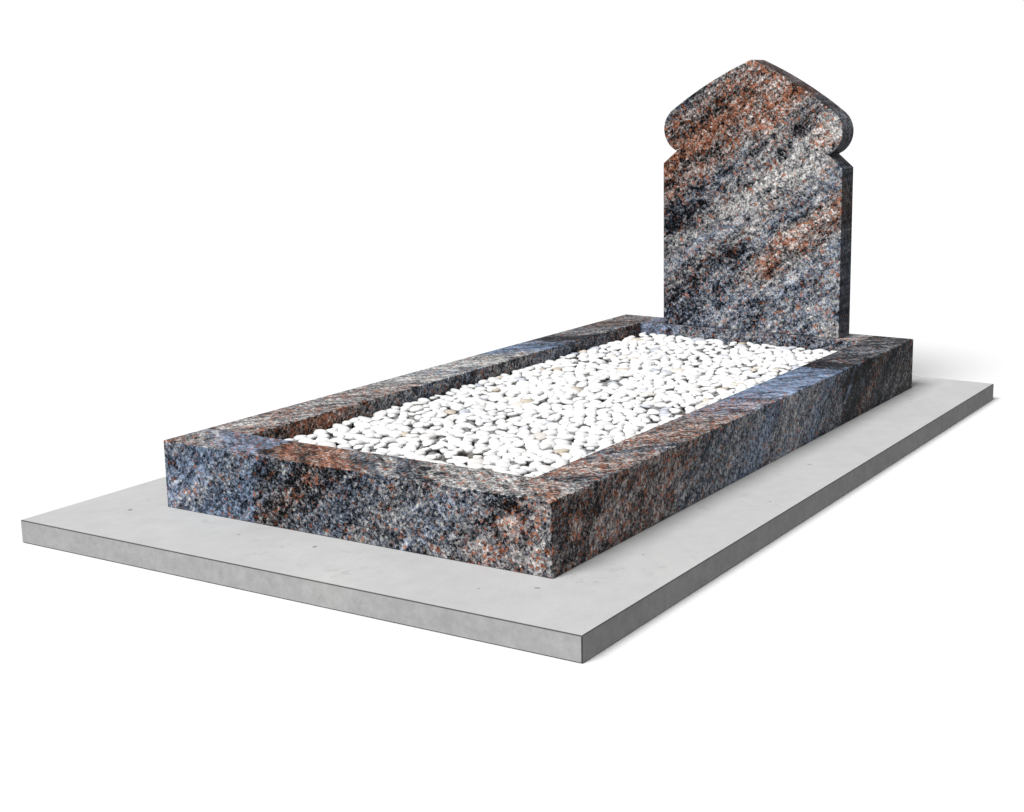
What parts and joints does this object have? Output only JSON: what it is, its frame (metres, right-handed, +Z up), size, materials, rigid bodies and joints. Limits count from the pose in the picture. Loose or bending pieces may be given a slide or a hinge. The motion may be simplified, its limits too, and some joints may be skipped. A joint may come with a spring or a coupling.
{
  "type": "upright headstone",
  "caption": "Upright granite headstone with notched sides and an arched crown, standing on a rectangular kerb set that is filled with white gravel, on a concrete footing slab.",
  "frame": {"origin": "middle of the footing slab's underside, on the ground", "axes": "+Z up; the headstone stands at the +Y end and faces -Y, the foot end; +X is to the right of someone who faces the headstone"},
  "size_m": [1.4, 2.4, 1.0237],
  "materials": {
    "concrete": "matte",
    "kerb_granite": "satin",
    "headstone_granite": "satin",
    "white_gravel": "matte"
  },
  "bodies": {
    "root": {"footing_slab": "concrete", "foot_kerb": "kerb_granite", "left_kerb": "kerb_granite", "right_kerb": "kerb_granite", "head_kerb": "kerb_granite", "headstone": "headstone_granite", "gravel_bed": "white_gravel"}
  },
  "joints": []
}
